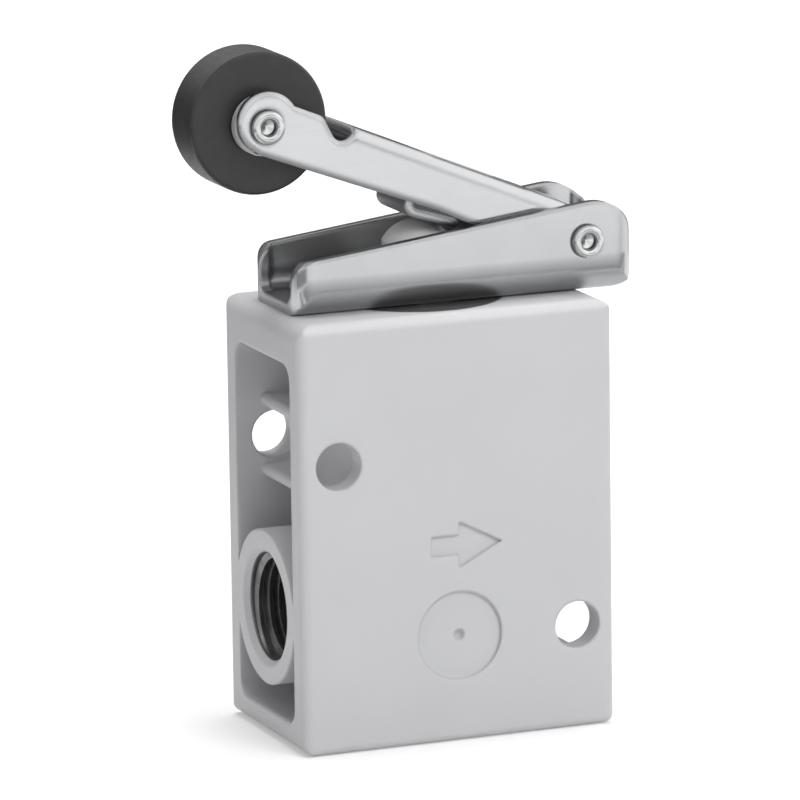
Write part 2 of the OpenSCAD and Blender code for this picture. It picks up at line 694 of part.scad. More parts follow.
module lever() color(bright) at_pivot() difference() {
  union() {
    difference() {
      union() {
        along_y(-lever_w / 2, -lever_inner) lever_outline();
        along_y(lever_inner, lever_w / 2) lever_outline();
        translate([-web_l, -lever_inner - lever_t / 2, lever_top - lever_t])
          cube([web_l - web_start, 2 * lever_inner + lever_t, lever_t]);
      }
      for (s = [0, 1]) mirror([0, s, 0]) along_x(-web_l, -web_start)
        translate([-lever_w / 2, lever_top]) mirror([0, 1]) bend_corner(lever_bend_r);
      translate([-heel_l + lever_t, -sole_w / 2 - side_gap, 0])
        cube([heel_l - lever_t - window_l, sole_w + 2 * side_gap, lever_top + over]);
    }
    rotate([0, -sole_rake, 0]) along_y(-sole_w / 2, sole_w / 2) foot_outline();
  }
  rod_y(pin_r + run_gap, lever_w + 2 * over);
  translate([-lever_l, 0, 0]) rod_y(pin_r + fit_gap, lever_w + 2 * over);
}

// Hollow rivet along Y through plates of outer width w, with its ends rolled into round lips
module hollow_rivet(w) turned_y() {
  roll_r = (pin_head_r - pin_hole_r) / 2;
  roll_y = w / 2 + pin_head_l - roll_r;
  translate([pin_hole_r, -roll_y]) square([pin_r - pin_hole_r, 2 * roll_y]);
  for (s = [0, 1]) mirror([0, s]) {
    translate([pin_hole_r, w / 2]) square([pin_head_r - pin_hole_r, roll_y - w / 2]);
    translate([pin_hole_r + roll_r, roll_y]) circle(roll_r);
  }
}

module pivot_pin() color(steel) translate([pivot_x, 0, pivot_z]) hollow_rivet(bracket_w);

module pivot_sleeve() color(steel) translate([pivot_x, 0, pivot_z]) difference() {
  rod_y(sleeve_r, 2 * (lever_inner - side_gap));
  rod_y(pin_r + fit_gap, lever_w);
}

// Everything on the roller's axle is drawn about that axle
module at_axle() at_pivot() translate([-lever_l, 0, 0]) children();

bush_l = roller_w + 2 * bush_proud;

module roller() color(black) at_axle() difference() {
  turned_y() intersection() {
    round_rect([-roller_r, -roller_w / 2], [roller_r, roller_w / 2], roller_edge_r, roller_edge_r);
    translate([0, -roller_w]) square([roller_r + over, 2 * roller_w]);
  }
  rod_y(bush_r + fit_gap, roller_w + 2 * over);
}

module roller_bush() color(brass) at_axle() difference() {
  rod_y(bush_r, bush_l);
  rod_y(pin_r + run_gap, bush_l + 2 * over);
}

module roller_axle() color(steel) at_axle() hollow_rivet(lever_w);

module roller_spacers() color(steel) at_axle() for (s = [-1, 1]) {
  inner = bush_l / 2 + side_gap;
  translate([0, s * (inner + lever_inner) / 2, 0]) difference() {
    rod_y(spacer_r, lever_inner - inner);
    rod_y(pin_r + fit_gap, lever_inner);
  }
}

body();
guide_bush();
guide_o_ring();
stem_seal();
seal_washer();
spacer_sleeve();
valve_seat();
seat_o_ring();
poppet();
poppet_seal();
poppet_spring();
plunger_stem();
plunger_cap();
plunger_spring();
lever_bracket();
bracket_screws();
lever();
pivot_pin();
pivot_sleeve();
roller();
roller_bush();
roller_axle();
roller_spacers();
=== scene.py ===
import json
import math

import bpy
from mathutils import Matrix, Vector


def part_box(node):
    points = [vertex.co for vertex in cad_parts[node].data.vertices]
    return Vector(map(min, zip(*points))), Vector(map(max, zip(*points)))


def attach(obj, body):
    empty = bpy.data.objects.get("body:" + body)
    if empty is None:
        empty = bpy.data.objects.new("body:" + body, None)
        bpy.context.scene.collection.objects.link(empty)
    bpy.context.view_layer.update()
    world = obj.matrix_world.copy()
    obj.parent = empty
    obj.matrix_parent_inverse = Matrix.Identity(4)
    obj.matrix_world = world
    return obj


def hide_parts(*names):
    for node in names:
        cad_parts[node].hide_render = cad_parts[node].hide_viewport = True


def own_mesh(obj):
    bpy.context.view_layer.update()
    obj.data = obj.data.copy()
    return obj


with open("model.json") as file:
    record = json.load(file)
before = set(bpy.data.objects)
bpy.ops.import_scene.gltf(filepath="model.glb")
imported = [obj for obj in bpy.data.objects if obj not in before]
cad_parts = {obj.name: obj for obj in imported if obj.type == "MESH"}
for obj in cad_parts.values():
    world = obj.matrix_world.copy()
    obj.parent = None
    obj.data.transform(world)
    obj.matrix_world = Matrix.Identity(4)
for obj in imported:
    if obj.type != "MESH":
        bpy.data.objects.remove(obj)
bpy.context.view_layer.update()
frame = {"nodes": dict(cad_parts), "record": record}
nodes = frame["nodes"]
mounts = {mount["name"]: mount for mount in frame["record"]["mounts"]}
jointRecords = {joint["name"]: joint for joint in frame["record"]["behaviour"]["joints"]}
mm = 0.001
print("frame loaded:", len(nodes), "nodes")

# Camera at the photo's angle
photoCamera = {
    "place": (-0.2344, -0.5716, 0.1607),
    "azimuth": -22.146,  # degrees
    "elevation": 12.008,
    "roll": -0.795,
    "focalPixels": 7071,
    "imagePixels": 800,
    "sensor": 36,
    "clip": (0.01, 50),
}


def placeCamera(look):
    data = bpy.data.cameras.new("photoCamera")
    data.sensor_width = look["sensor"]
    data.lens = look["focalPixels"] / look["imagePixels"] * look["sensor"]
    data.clip_start, data.clip_end = look["clip"]
    camera = bpy.data.objects.new("photoCamera", data)
    bpy.context.scene.collection.objects.link(camera)
    turn = Matrix.Rotation(math.radians(look["azimuth"]), 4, "Z")
    tip = Matrix.Rotation(math.radians(90 - look["elevation"]), 4, "X")
    roll = Matrix.Rotation(math.radians(look["roll"]), 4, "Z")
    camera.matrix_world = Matrix.Translation(look["place"]) @ turn @ tip @ roll
    bpy.context.scene.camera = camera


placeCamera(photoCamera)
print("camera placed")

noiseDetail = 3.0
noiseSpan = (0.3, 0.7)  # the part of a noise that is spread from low to high
edgeSamples = 6


# Node helpers: an input is a number, a colour or another node's output
def addNode(tree, kind, inputs, **settings):
    node = tree.nodes.new(kind)
    for key, value in settings.items():
        setattr(node, key, value)
    for key, value in inputs.items():
        if isinstance(value, bpy.types.NodeSocket):
            tree.links.new(value, node.inputs[key])
        else:
            node.inputs[key].default_value = value
    return node


def startMaterial(name, **values):
    material = bpy.data.materials.new(name)
    material.use_nodes = True
    shader = material.node_tree.nodes["Principled BSDF"]
    for key, value in values.items():
        shader.inputs[key.replace("_", " ")].default_value = value
    return material, material.node_tree, shader


def objectPlace(tree):
    return addNode(tree, "ShaderNodeTexCoord", {}).outputs["Object"]


def faceNormal(tree):
    return addNode(tree, "ShaderNodeNewGeometry", {}).outputs["Normal"]


def partOf(tree, vector, axis):
    return addNode(tree, "ShaderNodeSeparateXYZ", {0: vector}).outputs[axis]


def math2(tree, operation, a, b):
    return addNode(tree, "ShaderNodeMath", {0: a, 1: b}, operation=operation).outputs[0]


def vector2(tree, operation, a, b):
    return addNode(tree, "ShaderNodeVectorMath", {0: a, 1: b}, operation=operation)


def lengthOf(tree, vector):
    return addNode(tree, "ShaderNodeVectorMath", {0: vector}, operation="LENGTH").outputs["Value"]


def clamp(tree, value):
    return addNode(tree, "ShaderNodeClamp", {0: value}).outputs[0]


def ramp(tree, value, start, end, low, high):
    made = addNode(tree, "ShaderNodeMapRange", {"Value": value, "From Min": start, "From Max": end,
                                                "To Min": low, "To Max": high})
    return made.outputs[0]


def noise(tree, scale, detail=noiseDetail, stretch=(1, 1, 1)):
    spread = addNode(tree, "ShaderNodeMapping", {"Vector": objectPlace(tree), "Scale": stretch})
    made = addNode(tree, "ShaderNodeTexNoise",
                   {"Vector": spread.outputs["Vector"], "Scale": scale, "Detail": detail})
    return made.outputs["Fac"]


def between(tree, factor, low, high):
    return ramp(tree, factor, *noiseSpan, low, high)


def mixColour(tree, factor, a, b):
    made = addNode(tree, "ShaderNodeMix", {0: factor, 6: (*a, 1) if isinstance(a, tuple) else a,
                                           7: (*b, 1) if isinstance(b, tuple) else b}, data_type="RGBA")
    return made.outputs[2]


def softEdge(tree, radius):
    return addNode(tree, "ShaderNodeBevel", {"Radius": radius}, samples=edgeSamples).outputs["Normal"]


# 0 on flat faces, up to 1 where the softened normal leaves the face's own normal
def edgeMask(tree, rounded, gain):
    dot = vector2(tree, "DOT_PRODUCT", rounded, faceNormal(tree)).outputs["Value"]
    bent = math2(tree, "SUBTRACT", 1.0, dot)
    return clamp(tree, math2(tree, "MULTIPLY", bent, gain))


def bump(tree, height, strength, distance, normal):
    made = addNode(tree, "ShaderNodeBump",
                   {"Height": height, "Strength": strength, "Distance": distance, "Normal": normal})
    return made.outputs["Normal"]


# 1 where a floor or backdrop is seen, directly, in gloss or through glass
def seenRays(tree):
    rays = addNode(tree, "ShaderNodeLightPath", {})
    seen = math2(tree, "MAXIMUM", rays.outputs["Is Camera Ray"], rays.outputs["Is Glossy Ray"])
    return math2(tree, "MAXIMUM", seen, rays.outputs["Is Transmission Ray"])


paintLook = {
    "colour": (0.612, 0.614, 0.630),
    "cloud": (0.592, 0.594, 0.610),  # slow change of shade over the casting
    "cloudScale": 90,
    "edgeHighlight": (0.66, 0.66, 0.672),  # painted highlight, lighter along the edges
    "edgeHighlightGain": 1.6,
    "edge": 0.45 * mm,
    "bare": (0.22, 0.22, 0.22),  # metal inside the ports
    "bareMargin": 0.03 * mm,  # beyond the thread's radius
    "ior": 1.46,
    "rough": (0.38, 0.52), "roughScale": 1800,
    "waveScale": 620, "waveBump": (0.12, 0.05 * mm),  # strength and depth
    "grainScale": 5200, "grainBump": (0.16, 0.02 * mm),
}


# 1 within a port's radius on that port's side of the block, 0 elsewhere
def insidePort(tree, mount, margin):
    place = objectPlace(tree)
    away = vector2(tree, "SUBTRACT", place, Vector(mount["pos_m"])).outputs[0]
    radius = lengthOf(tree, vector2(tree, "MULTIPLY", away, (0, 1, 1)).outputs[0])
    near = math2(tree, "LESS_THAN", radius, mount["dims"]["r_mm"] * mm + margin)
    outward = math2(tree, "MULTIPLY", partOf(tree, place, "X"), mount["axis"][0])
    return math2(tree, "MULTIPLY", near, math2(tree, "GREATER_THAN", outward, 0.0))


def makePaint(look):
    material, tree, shader = startMaterial("satinPaint", IOR=look["ior"])
    rounded = softEdge(tree, look["edge"])
    cloud = between(tree, noise(tree, look["cloudScale"]), 0, 1)
    shade = mixColour(tree, cloud, look["cloud"], look["colour"])
    # lighter along every edge: a painted highlight
    shade = mixColour(tree, edgeMask(tree, rounded, look["edgeHighlightGain"]), shade, look["edgeHighlight"])
    bare = math2(tree, "ADD", insidePort(tree, mounts["inlet_port"], look["bareMargin"]),
                 insidePort(tree, mounts["outlet_port"], look["bareMargin"]))
    tree.links.new(mixColour(tree, bare, shade, look["bare"]), shader.inputs["Base Color"])
    tree.links.new(bare, shader.inputs["Metallic"])
    rough = between(tree, noise(tree, look["roughScale"]), *look["rough"])
    tree.links.new(rough, shader.inputs["Roughness"])
    peel = bump(tree, noise(tree, look["waveScale"]), *look["waveBump"], rounded)
    fine = bump(tree, noise(tree, look["grainScale"]), *look["grainBump"], peel)
    tree.links.new(fine, shader.inputs["Normal"])
    return material


pivot = Vector(jointRecords["lever_pivot"]["pos_m"])
arm = pivot - Vector(jointRecords["roller_spin"]["pos_m"])
sheetLooks = {
    "leverSheet": {
        "colour": (0.51, 0.515, 0.525), "dull": (0.48, 0.485, 0.495),
        "inner": (0.42, 0.425, 0.435), "cut": (0.20, 0.20, 0.21),
        "edge": 0.9 * mm,
        "innerWidth": 3.38 * mm, "innerReach": 2.4 * mm,  # under the web
        "innerWay": Vector((-arm.z, 0, arm.x)).normalized(),
        "bowTop": 0, "bowRadius": 1,  # its flanges are flat
    },
    "bracketSheet": {
        # The bracket carries the same plating as the lever; its colours are set darker for the light it
        # gets: painted shade.
        "colour": (0.49, 0.495, 0.505), "dull": (0.455, 0.46, 0.47),
        "inner": (0.50, 0.505, 0.515), "cut": (0.45, 0.455, 0.465),
        "edge": 0.5 * mm,
        "innerWidth": 4.72 * mm, "innerReach": -6 * mm,  # as far as the plunger
        "innerWay": Vector((1, 0, 0)),
        "bowTop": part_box("lever_bracket")[0].z + 3.5 * mm,  # its walls draw in from here down to the fold
        "bowRadius": 8.5 * mm,
    },
}
sheetGrain = {
    "lines": 5600, "linesDetail": 2,
    "along": (0.02, 1, 1),  # the rolling lines run along the sheet
    "linesRough": (-0.02, 0.03),
    "linesBump": (0.05, 0.01 * mm),
    "haze": 700 / 3, "hazeDetail": 4,
    "hazeRough": (0.13, 0.18),
    "innerRough": 0.2,  # the inside of a fold isn't polished
    "foldRough": 0.3,  # nor is the outside, where the sheet is stretched
    "downShadeGain": 2.6,  # how fast the painted shade grows as an edge turns down
    "foldShadow": (0.17, 0.17, 0.175),  # painted shadow on what faces up inside a fold, under the web
}


# 1 in the fold of a sheet, between its flanges and up to its reach from the pivot
def insideFold(tree, look):
    place = objectPlace(tree)
    across = math2(tree, "ABSOLUTE", partOf(tree, place, "Y"), 0.0)
    narrow = math2(tree, "LESS_THAN", across, look["innerWidth"])
    away = vector2(tree, "SUBTRACT", place, pivot).outputs[0]
    reach = vector2(tree, "DOT_PRODUCT", away, look["innerWay"]).outputs["Value"]
    return math2(tree, "MULTIPLY", narrow, math2(tree, "LESS_THAN", reach, look["innerReach"]))


# Walls that draw in slightly below a height, on a large radius
def bowedWall(tree, look, normal):
    height = partOf(tree, objectPlace(tree), "Z")
    below = math2(tree, "MAXIMUM", math2(tree, "SUBTRACT", look["bowTop"], height), 0.0)
    drawn = math2(tree, "MULTIPLY", math2(tree, "MULTIPLY", below, below), -0.5 / look["bowRadius"])
    return bump(tree, drawn, 1.0, 1.0, normal)


def makeSheet(name, look, grain):
    material, tree, shader = startMaterial(name, Metallic=1.0)
    rounded = softEdge(tree, look["edge"])
    lines = noise(tree, grain["lines"], grain["linesDetail"], grain["along"])
    haze = noise(tree, grain["haze"], grain["hazeDetail"])
    inner = insideFold(tree, look)
    shade = mixColour(tree, between(tree, haze, 0, 1), look["dull"], look["colour"])
    # the cut colour darkens faces whose softened normal turns down: painted shade standing in for the dark
    # floor they mirror
    under = clamp(tree, math2(tree, "MULTIPLY", partOf(tree, rounded, "Z"), -grain["downShadeGain"]))
    shade = mixColour(tree, under, shade, look["cut"])
    # inside the fold the colour is set for the little light that reaches there: painted shade
    shade = mixColour(tree, inner, shade, look["inner"])
    # faces that look up at the web above them are darkened: painted shadow
    upward = math2(tree, "MAXIMUM", partOf(tree, faceNormal(tree), "Z"), 0.0)
    shade = mixColour(tree, math2(tree, "MULTIPLY", upward, inner), shade, grain["foldShadow"])
    tree.links.new(shade, shader.inputs["Base Color"])
    rough = math2(tree, "ADD", between(tree, haze, *grain["hazeRough"]),
                  between(tree, lines, *grain["linesRough"]))
    rough = math2(tree, "ADD", rough, math2(tree, "MULTIPLY", inner, grain["innerRough"]))
    rough = math2(tree, "ADD", rough, math2(tree, "MULTIPLY", under, grain["foldRough"]))
    tree.links.new(rough, shader.inputs["Roughness"])
    bowed = bowedWall(tree, look, rounded)
    tree.links.new(bump(tree, lines, *grain["linesBump"], bowed), shader.inputs["Normal"])
    return material


mouldLooks = {
    "rollerNylon": {"low": (0.015, 0.015, 0.016), "high": (0.021, 0.021, 0.022),
                    "rimHighlight": (0.045, 0.045, 0.047), "rough": (0.36, 0.46), "edge": 0.2 * mm},
    "bushNylon": {"low": (0.075, 0.075, 0.076), "high": (0.09, 0.09, 0.091),
                  "rimHighlight": (0.12, 0.12, 0.121), "rough": (0.28, 0.4), "edge": 0.1 * mm},
    "capAcetal": {"low": (0.78, 0.78, 0.78), "high": (0.83, 0.83, 0.83),
                  "rimHighlight": (0.85, 0.85, 0.85), "rough": (0.35, 0.45), "edge": 0.1 * mm},
    "sealRubber": {"low": (0.016, 0.016, 0.016), "high": (0.026, 0.026, 0.026),
                   "rimHighlight": (0.05, 0.05, 0.05), "rough": (0.6, 0.75), "edge": 0.05 * mm},
}
mouldGrain = {
    "ior": 1.5,
    "cloudScale": 400,
    "rimHighlightGain": 1.5,
    "roughScale": 1500,
    "grainScale": 6000, "grainBump": (0.2, 0.02 * mm),
}


def makeMoulded(name, look, grain):
    material, tree, shader = startMaterial(name, IOR=grain["ior"])
    rounded = softEdge(tree, look["edge"])
    cloud = between(tree, noise(tree, grain["cloudScale"]), 0, 1)
    shade = mixColour(tree, cloud, look["low"], look["high"])
    # lighter along every edge: a painted highlight
    shade = mixColour(tree, edgeMask(tree, rounded, grain["rimHighlightGain"]), shade, look["rimHighlight"])
    tree.links.new(shade, shader.inputs["Base Color"])
    rough = between(tree, noise(tree, grain["roughScale"]), *look["rough"])
    tree.links.new(rough, shader.inputs["Roughness"])
    fine = bump(tree, noise(tree, grain["grainScale"]), *grain["grainBump"], rounded)
    tree.links.new(fine, shader.inputs["Normal"])
    return material


upright, crosswise, lengthwise = (0.2, 0.2, 9), (0.2, 9, 0.2), (9, 0.2, 0.2)  # the axis of turning
turnedLooks = {
    "satinSteel": {"low": (0.50, 0.505, 0.51), "high": (0.64, 0.645, 0.65),
                   "rough": (0.22, 0.34), "marks": upright, "metal": 1.0},
    "sleeveSteel": {"low": (0.46, 0.465, 0.47), "high": (0.54, 0.545, 0.55),
                    "rough": (0.30, 0.40), "marks": crosswise, "metal": 1.0},
    "zincSteel": {"low": (0.52, 0.525, 0.53), "high": (0.60, 0.605, 0.61),
                  "rough": (0.55, 0.65), "marks": crosswise, "metal": 0.35},  # dull plated washers
    "turnedBrass": {"low": (0.58, 0.42, 0.16), "high": (0.76, 0.58, 0.27),
                    "rough": (0.2, 0.32), "marks": upright, "metal": 1.0},
    "bushBrass": {"low": (0.58, 0.42, 0.16), "high": (0.76, 0.58, 0.27),
                  "rough": (0.2, 0.32), "marks": crosswise, "metal": 1.0},
    "cutThread": {"low": (0.15, 0.15, 0.15), "high": (0.30, 0.30, 0.30),
                  "rough": (0.38, 0.5), "marks": lengthwise, "metal": 1.0},
}
turnedGrain = {
    "edge": 0.06 * mm,
    "cloudScale": 500,
    "marksScale": 900, "marksDetail": 2,  # tool marks run round the axis
    "marksBump": (0.06, 0.01 * mm),
}


def makeTurned(name, look, grain):
    material, tree, shader = startMaterial(name, Metallic=look["metal"])
    marks = noise(tree, grain["marksScale"], grain["marksDetail"], look["marks"])
    cloud = between(tree, noise(tree, grain["cloudScale"]), 0, 1)
    shade = mixColour(tree, cloud, look["low"], look["high"])
    tree.links.new(shade, shader.inputs["Base Color"])
    tree.links.new(between(tree, marks, *look["rough"]), shader.inputs["Roughness"])
    ridged = bump(tree, marks, *grain["marksBump"], softEdge(tree, grain["edge"]))
    tree.links.new(ridged, shader.inputs["Normal"])
    return material


rivetLook = {
    "low": (0.54, 0.545, 0.55), "high": (0.64, 0.645, 0.65),
    "cloudScale": 500,
    "seat": (0.04, 0.04, 0.042),  # painted shadow round a head, where it meets the plate
    "clear": 0.6 * mm,  # height above the plate at which the painted shadow ends
    "start": 0.02 * mm,  # depth below the plate's face at which it starts
    "rough": (0.16, 0.24), "roughScale": 1500,
    "edge": 0.06 * mm,
    "grainScale": 2400, "grainBump": (0.05, 0.01 * mm),
}


def makeRivet(name, look, plate):
    material, tree, shader = startMaterial(name, Metallic=1.0)
    outward = math2(tree, "ABSOLUTE", partOf(tree, objectPlace(tree), "Y"), 0.0)
    # a painted shadow round each head where it meets the plate
    headShadow = ramp(tree, outward, plate, plate + look["clear"], 1.0, 0.0)
    headShadow = math2(tree, "MULTIPLY", headShadow, math2(tree, "GREATER_THAN", outward, plate - look["start"]))
    cloud = between(tree, noise(tree, look["cloudScale"]), 0, 1)
    shade = mixColour(tree, cloud, look["low"], look["high"])
    tree.links.new(mixColour(tree, headShadow, shade, look["seat"]), shader.inputs["Base Color"])
    rough = between(tree, noise(tree, look["roughScale"]), *look["rough"])
    tree.links.new(rough, shader.inputs["Roughness"])
    fine = bump(tree, noise(tree, look["grainScale"]), *look["grainBump"], softEdge(tree, look["edge"]))
    tree.links.new(fine, shader.inputs["Normal"])
    return material


paint = makePaint(paintLook)
sheets = {name: makeSheet(name, look, sheetGrain) for name, look in sheetLooks.items()}
moulded = {name: makeMoulded(name, look, mouldGrain) for name, look in mouldLooks.items()}
turned = {name: makeTurned(name, look, turnedGrain) for name, look in turnedLooks.items()}
plates = {"pivot_pin": "lever_bracket", "roller_axle": "lever"}  # what each rivet's heads lie on
seats = {node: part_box(plate)[1].y for node, plate in plates.items()}
rivets = {node: makeRivet(node + "Steel", rivetLook, seat) for node, seat in seats.items()}
finishes = {
    "body": paint,
    "lever_bracket": sheets["bracketSheet"], "lever": sheets["leverSheet"],
    "pivot_pin": rivets["pivot_pin"], "roller_axle": rivets["roller_axle"],
    "roller_spacers": turned["zincSteel"], "pivot_sleeve": turned["sleeveSteel"],
    "bracket_screws": turned["satinSteel"], "plunger_stem": turned["satinSteel"],
    "seal_washer": turned["satinSteel"], "plunger_spring": turned["satinSteel"],
    "poppet_spring": turned["satinSteel"],
    "spacer_sleeve": turned["turnedBrass"], "valve_seat": turned["turnedBrass"],
    "poppet": turned["turnedBrass"], "roller_bush": turned["bushBrass"],
    "guide_bush": moulded["bushNylon"], "roller": moulded["rollerNylon"],
    "plunger_cap": moulded["capAcetal"],
    "guide_o_ring": moulded["sealRubber"], "stem_seal": moulded["sealRubber"],
    "seat_o_ring": moulded["sealRubber"], "poppet_seal": moulded["sealRubber"],
}
for name, finish in finishes.items():
    nodes[name].data.materials.clear()
    nodes[name].data.materials.append(finish)
print("finishes on", len(finishes), "nodes")

weldGap = 0.0005 * mm
smoothAngle = 35  # degrees


# Helpers for new pieces
def deselect():
    for item in list(bpy.context.selected_objects):
        item.select_set(False)


def apply(piece, modifier):
    bpy.context.view_layer.objects.active = piece
    bpy.ops.object.modifier_apply(modifier=modifier.name)


def settle(piece, finish, body):
    deselect()
    piece.select_set(True)
    bpy.context.view_layer.objects.active = piece
    bpy.ops.object.transform_apply(location=True, rotation=True, scale=True)
    bpy.ops.object.mode_set(mode="EDIT")
    bpy.ops.mesh.select_all(action="SELECT")
    bpy.ops.mesh.remove_doubles(threshold=weldGap)
    bpy.ops.mesh.normals_make_consistent(inside=False)
    bpy.ops.object.mode_set(mode="OBJECT")
    bpy.ops.object.shade_smooth_by_angle(angle=math.radians(smoothAngle))
    piece.data.materials.clear()
    piece.data.materials.append(finish)
    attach(piece, body)
    return piece


# A loop of edges through the given points, ready to be swept
def drawSection(name, points):
    deselect()
    bpy.ops.mesh.primitive_circle_add(vertices=len(points), radius=mm, fill_type="NOTHING")
    piece = bpy.context.object
    piece.name = name
    for vertex, point in zip(piece.data.vertices, points):
        vertex.co = point
    return piece


# A closed section swept round Z, pitch by pitch
def sweepSection(name, corners, pitch, turns, steps):
    piece = drawSection(name, [(radius, 0, height) for radius, height in corners])
    screw = piece.modifiers.new("sweep", "SCREW")
    screw.axis = "Z"
    screw.angle = 2 * math.pi * turns
    screw.screw_offset = pitch * turns
    screw.steps = screw.render_steps = round(steps * turns)
    apply(piece, screw)
    bpy.ops.object.mode_set(mode="EDIT")
    bpy.ops.mesh.select_all(action="SELECT")
    bpy.ops.mesh.fill_holes(sides=len(corners))
    bpy.ops.object.mode_set(mode="OBJECT")
    return piece


# How many turns from its start a point of a swept section lies
def turnOf(point, pitch):
    angle = math.atan2(point.y, point.x) / (2 * math.pi) % 1
    return round(point.z / pitch - angle) + angle


portThread = {
    "pitch": 0.907 * mm,
    "depth": 0.58 * mm,
    "root": 0.80,  # shares of the pitch
    "crest": 0.22,
    "sunk": 0.02 * mm,  # the ridge's root is let into the wall
    "inset": 0.12 * mm,  # from the mount's plane
    "turns": 7,
    "steps": 64,
    "fade": 0.35,  # turns over which an end runs out
    "leastRidge": 0.02,  # share of the ridge left at its very end
}


def threadPort(name, mount, look):
    wall = mount["dims"]["r_mm"] * mm
    pitch = look["pitch"]
    root = look["root"] * pitch / 2
    crest = look["crest"] * pitch / 2
    tip = wall - look["depth"]
    base = wall + look["sunk"]
    piece = sweepSection(name, [(base, -root), (tip, -crest), (tip, crest), (base, root)], pitch,
                         look["turns"], look["steps"])
    fadeHeight = look["fade"] * pitch
    length = look["turns"] * pitch
    for vertex in piece.data.vertices:  # run-outs at both ends
        radius = math.hypot(vertex.co.x, vertex.co.y)
        along = turnOf(vertex.co, pitch) * pitch
        share = min(1, max(look["leastRidge"], min(along, length - along) / fadeHeight))
        wanted = base - (base - radius) * share
        vertex.co.x *= wanted / radius
        vertex.co.y *= wanted / radius
    inward = -mount["axis"][0]
    piece.matrix_world = (Matrix.Translation(mount["pos_m"])
                          @ Matrix.Rotation(math.radians(90) * inward, 4, "Y")
                          @ Matrix.Translation((0, 0, look["inset"] + root)))
    return settle(piece, turned["cutThread"], "housing")


threadPort("inletThread", mounts["inlet_port"], portThread)
threadPort("outletThread", mounts["outlet_port"], portThread)
print("port threads cut")

# Coil springs, rounder than their faceted solids
springLooks = {
    "plunger_spring": {"name": "plungerSpring", "wire": 0.6 * mm, "turns": 5, "joint": "plunger_slide"},
    "poppet_spring": {"name": "poppetSpring", "wire": 0.7 * mm, "turns": 6, "joint": "poppet_slide"},
}
springForm = {
    "sides": 14,  # of the wire's section
    "steps": 40,  # per turn
    "closed": 1.15,  # pitch of the end turns in wires
}


def windSpring(node, look, form):
    low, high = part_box(node)
    wire, turns = look["wire"], look["turns"]
    span = high.z - low.z - wire
    pitch = span / turns
    coil = (high.x - low.x - wire) / 2
    endRise = form["closed"] * wire
    angles = [2 * math.pi * side / form["sides"] for side in range(form["sides"])]
    section = [(coil + wire / 2 * math.cos(angle), wire / 2 * math.sin(angle)) for angle in angles]
    piece = sweepSection(look["name"], section, pitch, turns, form["steps"])
    for vertex in piece.data.vertices:  # end turns close up, and the turns between share the rest
        turn = min(turns, max(0, turnOf(vertex.co, pitch)))
        if turn < 1:
            rise = turn * endRise
        elif turn > turns - 1:
            rise = span - (turns - turn) * endRise
        else:
            rise = endRise + (turn - 1) / (turns - 2) * (span - 2 * endRise)
        vertex.co.z += rise - turn * pitch
    piece.location.z = low.z + wire / 2
    settle(piece, turned["satinSteel"], "housing")
    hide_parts(node)
    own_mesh(piece)


for springNode, springLook in springLooks.items():
    windSpring(springNode, springLook, springForm)
print("springs wound")

# Rivets with finely rolled lips, turned over the two pins
rivetPieces = {
    "pivot_pin": {"name": "pivotRivet", "body": "housing"},
    "roller_axle": {"name": "rollerRivet", "body": "lever_arm"},
}
rivetForm = {
    "shank": 1.3 * mm,
    "hole": 0.7 * mm,
    "holeDepth": 0.95 * mm,  # a blind hole with a coned bottom
    "cone": 0.3 * mm,
    "eye": 0.02 * mm,  # radius left open on the axis, too small to see
    "lipSteps": 14,
    "steps": 96,
}


def turnRivet(node, rivet, form):
    low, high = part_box(node)
    headRadius, end = (high.x - low.x) / 2, (high.y - low.y) / 2
    seat, hole = seats[node], form["hole"]
    lip = (headRadius - hole) / 2
    bottom = end - form["holeDepth"]
    arc = [math.pi * step / form["lipSteps"] for step in range(form["lipSteps"] + 1)]
    half = [(form["shank"], seat), (headRadius, seat)]
    half += [(hole + lip + lip * math.cos(angle), end - lip + lip * math.sin(angle)) for angle in arc]
    half += [(hole, bottom), (form["eye"], bottom - form["cone"])]
    outline = half + [(radius, -along) for radius, along in reversed(half)]
    piece = drawSection(rivet["name"], [(radius, along, 0) for radius, along in outline])
    sweep = piece.modifiers.new("sweep", "SCREW")
    sweep.axis = "Y"
    sweep.steps = sweep.render_steps = form["steps"]
    apply(piece, sweep)
    piece.location = (low + high) / 2
    settle(piece, rivets[node], rivet["body"])
    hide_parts(node)


for rivetNode, rivetPiece in rivetPieces.items():
    turnRivet(rivetNode, rivetPiece, rivetForm)
print("rivets turned")

# Pan-head screws that hold the bracket down, each with a tapered cross recess
screwLook = {
    "names": ("leftBracketScrew", "rightBracketScrew"),
    "sides": 64,
    "headRadius": 2.25 * mm,
    "headHeight": 1.5 * mm,
    "crown": 0.9 * mm,  # rounding of the head's rim
    "crownSteps": 8,
    "shankRadius": 1.25 * mm,
    "tipChamfer": 0.25 * mm,
    "recess": (2.5 * mm, 0.62 * mm, 0.95 * mm),  # length, width and depth of one arm
    "taper": 0.45,  # share of the arm left at the bottom
    "turns": (24, 61),  # how far each recess is turned, in degrees
}


def pick(piece, kind, wanted):
    bpy.ops.object.mode_set(mode="EDIT")
    bpy.context.tool_settings.mesh_select_mode = (False, kind == "edge", kind == "face")
    bpy.ops.mesh.select_all(action="DESELECT")
    bpy.ops.object.mode_set(mode="OBJECT")
    for part in piece.data.edges if kind == "edge" else piece.data.polygons:
        part.select = all(wanted(piece.data.vertices[index].co) for index in part.vertices)
    bpy.ops.object.mode_set(mode="EDIT")


